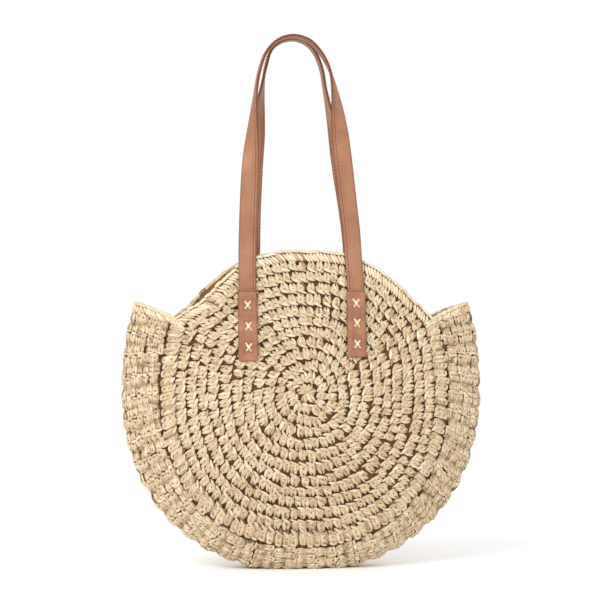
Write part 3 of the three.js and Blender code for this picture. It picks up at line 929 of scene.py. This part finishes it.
strap = {
    "width": 19.0,
    "thickness": 3.4,
    "endWidth": 17.0,
    "endThickness": 2.2,
    "endLift": 0.4,
    "endHeights": (244.0, 262.0, 280.0, 295.0),
    "frontTwist": ((400, 538), (444, 570)),  # heights where each side turns on edge
    "backTwist": ((440, 560), (400, 538)),
    "stations": 300,
    "seamIn": 3.2,  # stitch line to the edge
    "secondSeamIn": 6.1,
    "groove": 0.32,  # depth and half width of the pressed line under each row of stitches
    "grooveReach": 0.55,
    "secondGroove": 0.14,
    "secondGrooveReach": 0.5,
    # painted shade along the pressed lines under the stitches
    "grooveShade": 0.35,
    "stitchPitch": 3.9,
    "stitchLength": 2.7,
    "stitchSunk": 0.55,
    "stitchArch": 0.5,
    "stitchRadii": (0.45, 0.35),
    "stitchesFrom": 306,
    "endRamp": (301, 312),  # heights between which the thin sewn end grows to the full strap
    "wobble": 0.05,
    "foldBottom": 0.303,  # metres: the strap bends here as the handle folds down
    "foldTop": 0.315,
    "frontRoute": [
        (-64, -37, 307.5), (-63.9, -33.4, 321), (-63.7, -28.4, 342), (-63, -26.5, 370), (-61.8, -25, 403),
        (-58.4, -20.5, 463), (-52.6, -14, 528), (-48.4, -11.5, 549), (-41, -11, 568.5), (-28, -11, 581.5),
        (-11.6, -11, 586), (6, -11, 581), (19.5, -11, 567), (28.8, -11.5, 549.5), (34, -14, 527.5),
        (41.2, -20.5, 463), (47.6, -25, 403), (51.3, -26.5, 370), (53, -28.4, 342), (54, -33.4, 321),
        (54.5, -37, 307.5),
    ],
    "backRoute": [
        (-55.5, 37, 307.5), (-55.2, 33.4, 321), (-54.6, 28.4, 342), (-54, 26.5, 370), (-53.1, 25, 403),
        (-50.3, 20.5, 463), (-43.6, 14, 531), (-40, 11.5, 554), (-33.8, 11, 573), (-23.5, 11, 582),
        (-9, 11, 585.3), (4.5, 11, 581.3), (14, 11, 572), (22.2, 11.5, 553), (27, 14, 528),
        (40.5, 20.5, 466), (51.5, 25, 403), (56.2, 26.5, 370), (58.6, 28.4, 342), (59.6, 33.4, 321),
        (60, 37, 307.5),
    ],
}


def smoothPath(points, count, samples=16):
    # centripetal Catmull-Rom curve through the points, then spaced evenly along its length
    points = np.array(points, float)
    points = np.concatenate([[2 * points[0] - points[1]], points, [2 * points[-1] - points[-2]]])
    steps = np.linalg.norm(np.diff(points, axis=0), axis=1) ** 0.5
    knots = np.concatenate([[0], np.cumsum(steps)])[:, None, None]
    t = mix(knots[1:-2], knots[2:-1], np.linspace(0, 1, samples)[None, :, None])
    p0, p1, p2, p3 = (points[k:len(points) - 3 + k, None] for k in range(4))
    t0, t1, t2, t3 = (knots[k:len(points) - 3 + k] for k in range(4))
    a1 = mix(p0, p1, (t - t0) / (t1 - t0))
    a2 = mix(p1, p2, (t - t1) / (t2 - t1))
    a3 = mix(p2, p3, (t - t2) / (t3 - t2))
    b1 = mix(a1, a2, (t - t0) / (t2 - t0))
    b2 = mix(a2, a3, (t - t1) / (t3 - t1))
    curve = mix(b1, b2, (t - t1) / (t2 - t1))
    curve = np.concatenate([curve[:, :-1].reshape(-1, 3), curve[-1:, -1]])
    run = np.concatenate([[0], np.cumsum(np.linalg.norm(np.diff(curve, axis=0), axis=1))])
    even = np.linspace(0, run[-1], count)
    return np.stack([np.interp(even, run, curve[:, k]) for k in range(3)], -1), run[-1]


def strapFrame(side, route, twist):
    # centre line and, at each station, the directions across the strap and out of its face. The
    # strap turns a half turn in all: 90 degrees up each side, by the height's smooth ramp.
    def endPoints(x):
        lift = strap["endLift"] + strap["endThickness"] / 2
        return [(x, side * (faceDepth(x, z) + lift), z) for z in strap["endHeights"]]

    path = endPoints(route[0][0]) + list(route) + endPoints(route[-1][0])[::-1]
    line, length = smoothPath(path, strap["stations"])
    tangent = unit(np.gradient(line, axis=0))
    onLeft, onRight = (np.pi / 2 * smoothRamp(line[:, 2], low, high) for low, high in twist)
    turn = np.where(np.arange(len(line)) < len(line) / 2, onLeft, np.pi - onRight)
    across = np.stack([np.cos(turn), side * np.sin(turn), 0 * turn], -1)
    across = unit(across - tangent * np.sum(across * tangent, axis=-1, keepdims=True))
    return line, across, np.cross(across, tangent), length


def strapWidths():
    # places across half the strap, -1 to 1, close together at its edges and at its stitch lines
    even = np.sin(np.linspace(-np.pi / 2, np.pi / 2, 19))
    half = strap["width"] / 2
    seams = [1 - (strap["seamIn"] + d) / half for d in (-0.8, -0.4, 0, 0.4, 0.8)]
    seams += [1 - (strap["secondSeamIn"] + d) / half for d in (-0.5, 0, 0.5)]
    return np.unique(np.round(np.concatenate([even, seams]), 4))


def faceHeight(w, halfThickness, halfWidth):
    # half thickness with rounded edges and a pressed line under each row of stitches
    rounded = (1 - np.abs(w) ** 9) ** 0.42
    inwards = (1 - w) * halfWidth
    first = strap["groove"] * np.exp(-((inwards - strap["seamIn"]) / strap["grooveReach"]) ** 2)
    second = np.exp(-((inwards - strap["secondSeamIn"]) / strap["secondGrooveReach"]) ** 2)
    return np.maximum((halfThickness - first - strap["secondGroove"] * second) * rounded, 0)


def strapBody(line, across, outward, random):
    w = strapWidths()[None]
    full = smoothRamp(line[:, 2:3], *strap["endRamp"])
    halfWidth = mix(strap["endWidth"], strap["width"], full) / 2
    halfThickness = mix(strap["endThickness"], strap["thickness"], full) / 2
    noise = np.convolve(random.normal(0, 1, len(line) + 40), np.hanning(41), "valid")
    wobble = strap["wobble"] * noise[:, None]
    height = faceHeight(w, halfThickness, strap["width"] / 2)
    flat = w * (halfWidth + wobble)
    middle = line[:, None] + across[:, None] * flat[..., None]
    rise = outward[:, None] * height[..., None]
    # painted edge along both sides, plus painted shade where the face is pressed in under the stitches
    creased = strap["thickness"] / 2 - height > 0.1
    edge = smoothRamp(np.abs(w), 0.965, 0.99) + strap["grooveShade"] * creased
    tone = np.concatenate([edge, edge[:, ::-1]], axis=1)
    return outwardFacing(loft(np.concatenate([middle + rise, (middle - rise)[:, ::-1]], axis=1), tone))


def strapSeam(line, across, outward, length):
    # short stitches along the line on both faces
    count = int(length / strap["stitchPitch"])
    station = np.arange(len(line))
    middle = (np.arange(count) + 0.5) / count * (len(line) - 1)
    reach = strap["stitchLength"] / length * (len(line) - 1) / 2
    place = middle[:, None] + np.linspace(-reach, reach, 7)[None]
    place = place[np.interp(middle, station, line[:, 2]) > strap["stitchesFrom"]]
    arch = np.cos(np.linspace(-1, 1, 7) * np.pi / 2)[None, :, None]
    inner = strap["width"] / 2 - strap["seamIn"]

    def along(values):
        return np.stack([np.interp(place, station, values[:, k]) for k in range(3)], -1)

    parts = []
    for face in (1, -1):
        lift = face * (strap["thickness"] / 2 - strap["stitchSunk"] + strap["stitchArch"] * arch)
        dash = along(line) + along(across) * inner + along(outward) * lift
        tone = np.full(len(dash), 0.5)
        parts.append(tubes(dash, face * along(outward), *strap["stitchRadii"], 6, tone))
    return joined(parts)


for label, side in bothSides:
    line, across, outward, length = strapFrame(side, strap[f"{label}Route"], strap[f"{label}Twist"])
    part = strapBody(line, across, outward, np.random.default_rng(51 + side))
    leather = makePiece(f"{label}_handle_strap", part, tanLeather)
    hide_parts(f"{label}_strap", f"{label}_strap_end_left", f"{label}_strap_end_right")
    part = strapSeam(line, across, outward, length)
    seam = makePiece(f"{label}_handle_seam", part, brownThread, atlas=True)
    for piece in (leather, seam):
        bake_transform(piece)
print("straps cut and stitched")


# Leather tabs with their cross stitches

tab = {
    "width": 21.0,
    "bottom": {"left": 229.0, "right": 233.0},
    "top": 305.0,
    "crease": 5.5,  # a pressed line this far above the lower edge
    "creaseDepth": 0.45,
    "creaseReach": 0.7,
    "dentReach": 1.3,
    "pillow": 0.35,
    "pillowReach": 5.5,
    "reliefDepth": 0.75,
    "wrinkle": 0.25,
    "thickness": 2.2,
    "lift": 3.0,
    "corner": 2.6,
    "droop": 1.7,  # sides and lower end lie down beside the strap end
    "stations": 110,
    "columns": 41,
    "stitchHeights": {"left": (290.0, 267.0, 244.5), "right": (292.0, 270.5, 247.5)},
    "stitchHalfWidth": 3.9,
    "stitchHalfHeight": 5.2,
    "threadRadius": 1.15,
    "threadSunk": 1.5,
    "threadArch": 1.6,
    "threadOver": 1.1,  # the second strand rises this much more over the first
}


def tabLift(x, z):
    # height of the tab's back over the crochet: full on the strap end, less at the sides and below it
    side = smoothRamp(np.abs(x) / (tab["width"] / 2), 0.80, 1.0)
    below = smoothRamp(-z, -strap["endHeights"][0] - 1.5, -strap["endHeights"][0] + 5)
    return tab["lift"] - tab["droop"] * np.maximum(side, below)


def tabRelief(x, z, end):
    # dents where the thread pulls the leather in, a soft pillow between them, and the lower crease
    crease = tab["bottom"][end] + tab["crease"]
    dents = tab["creaseDepth"] * np.exp(-((z - crease) / tab["creaseReach"]) ** 2)
    for height in tab["stitchHeights"][end]:
        for sx in (-1, 1):
            for sz in (-1, 1):
                away = np.hypot(x - sx * tab["stitchHalfWidth"], z - height - sz * tab["stitchHalfHeight"])
                dents = dents + np.exp(-(away / tab["dentReach"]) ** 2)
        dents = dents + tab["pillow"] * np.exp(-(np.hypot(x, z - height) / tab["pillowReach"]) ** 2)
    return dents


def tabBody(side, centreX, end):
    bottom = tab["bottom"][end]
    z = np.linspace(bottom, tab["top"], tab["stations"])
    ends = np.minimum(z - bottom, tab["top"] - z)
    inCorner = np.clip(tab["corner"] - ends, 0, tab["corner"])
    narrowing = tab["corner"] - np.sqrt(np.maximum(tab["corner"] ** 2 - inCorner ** 2, 0))
    halfWidth = (tab["width"] / 2 - narrowing)[:, None]
    w = np.sin(np.linspace(-np.pi / 2, np.pi / 2, tab["columns"]))[None]
    x = w * halfWidth
    z = z[:, None] + 0 * x
    rounding = (1 - np.abs(w) ** 10) ** 0.4 * np.clip(ends / 1.2, 0, 1)[:, None] ** 0.4
    wrinkle = np.sin(z * 0.31 + 1.3 * np.sin(x * 0.22 + centreX)) * np.sin(x * 0.35 + 0.1 * z)
    relief = tabRelief(x, z, end)
    back = tabLift(x, z)
    face = back + tab["thickness"] * (0.12 + 0.88 * rounding)
    face = face - (tab["reliefDepth"] * relief - tab["wrinkle"] * wrinkle) * rounding
    depth = faceDepth(centreX + x, z)
    top = np.stack([centreX + x, side * (depth + face), z], -1)
    under = np.stack([centreX + x, side * (depth + back), z], -1)
    # painted shade in the dents at the needle holes and along the lower crease
    holeShade = np.clip(relief - 0.4, 0, 1) * 1.5
    edge = np.maximum(smoothRamp(np.abs(w), 0.975, 0.995), 1 - smoothRamp(ends[:, None], 0.2, 0.8))
    tone = np.concatenate([np.clip(np.maximum(holeShade, edge), 0, 1), edge[:, ::-1] + 0 * x], axis=1)
    return outwardFacing(loft(np.concatenate([top, under[:, ::-1]], axis=1), tone))


def crossStitch(side, centreX, height, random):
    # two crossing cords through the tab, each an arch that dives into its needle holes
    share = np.linspace(0, 1, 17)
    parts = []
    for order, lean in enumerate((1, -1)):
        wide = tab["stitchHalfWidth"] * random.uniform(0.92, 1.1)
        tall = tab["stitchHalfHeight"] * random.uniform(0.94, 1.06)
        tilt = random.normal(0, 0.3)
        x = centreX + lean * wide * (2 * share - 1) + tilt
        z = height + tall * (2 * share - 1)
        arch = np.sin(np.pi * share) ** 0.45
        over = order * tab["threadOver"] * np.exp(-((share - 0.5) / 0.16) ** 2)
        lift = tab["lift"] + tab["thickness"] - tab["threadSunk"] + (tab["threadArch"] + over) * arch
        line = np.stack([x, side * (faceDepth(x, z) + lift), z], -1)[None]
        normal = np.array([0, side, 0]) + 0 * line
        parts.append(tubes(line, normal, tab["threadRadius"], tab["threadRadius"] * 0.8, 12,
                           np.array([0.5]), ply=2, lay=5.0))
    return joined(parts)


for label, side in bothSides:
    route = strap[f"{label}Route"]
    for end, centreX in (("left", route[0][0]), ("right", route[-1][0])):
        random = np.random.default_rng(abs(int(centreX * 10)))
        patch = makePiece(f"{label}_leather_tab_{end}", tabBody(side, centreX, end), tabLeather)
        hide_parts(f"{label}_tab_{end}")
        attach(patch, f"{label}_panel")
        for row, height in enumerate(tab["stitchHeights"][end], 1):
            part = crossStitch(side, centreX, height, random)
            thread = makePiece(f"{label}_cross_stitch_{end}_{row}", part, creamThread, atlas=True)
            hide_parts(f"{label}_stitch_{end}_{row}")
            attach(thread, f"{label}_panel")
print("tabs sewn on")


# Camera, light and floor

camera = {
    "azimuth": -6.0,
    "distance": 2.25,
    "height": 0.2953,
    "aside": -0.0028,
    "lens": 121.9,
}


def placeCamera():
    # looks level at the bag from a little to its left, from about two metres
    a = math.radians(camera["azimuth"])
    data = bpy.data.cameras.new("camera")
    data.lens = camera["lens"]
    eye = bpy.data.objects.new("camera", data)
    eye.location = (
        math.sin(a) * camera["distance"] + math.cos(a) * camera["aside"],
        -math.cos(a) * camera["distance"] + math.sin(a) * camera["aside"],
        camera["height"],
    )
    eye.rotation_euler = (math.pi / 2, 0, a)
    bpy.context.scene.collection.objects.link(eye)
    bpy.context.scene.camera = eye


def addSoftbox(name, place, target, size, power):
    data = bpy.data.lights.new(name, "AREA")
    data.shape = "DISK"
    data.size = size
    data.energy = power
    lamp = bpy.data.objects.new(name, data)
    lamp.location = place
    aim = np.array(target) - np.array(place)
    tilt = math.acos(-aim[2] / np.linalg.norm(aim))
    lamp.rotation_euler = (tilt, 0, math.atan2(aim[1], aim[0]) - math.pi / 2)
    bpy.context.scene.collection.objects.link(lamp)


def studio():
    world = bpy.data.worlds.new("paleStudio")
    world.use_nodes = True
    world.node_tree.nodes["Background"].inputs["Color"].default_value = (1, 1, 1, 1)
    world.node_tree.nodes["Background"].inputs["Strength"].default_value = 1.0
    bpy.context.scene.world = world
    bpy.context.scene.view_settings.view_transform = "Standard"
    addSoftbox("keySoftbox", (-1.7, -2.0, 2.2), (0, 0, 0.25), 2.0, 52)
    addSoftbox("lowFill", (0.5, -2.4, 0.5), (0, 0, 0.15), 1.4, 6)
    mesh = bpy.data.meshes.new("floor")
    turn = np.linspace(0, 2 * math.pi, 64, endpoint=False)
    ring = np.stack([12 * np.cos(turn), 12 * np.sin(turn), 0 * turn], -1)
    mesh.from_pydata(ring.tolist(), [], [list(range(64))])
    floor = bpy.data.objects.new("floor", mesh)
    material, tree = newMaterial("matWhitePaper")
    addSurface(tree, {"Base Color": linearColour("#ffffff"), "Roughness": 0.9})
    mesh.materials.append(material)
    bpy.context.scene.collection.objects.link(floor)


placeCamera()
studio()
print("camera and light placed")
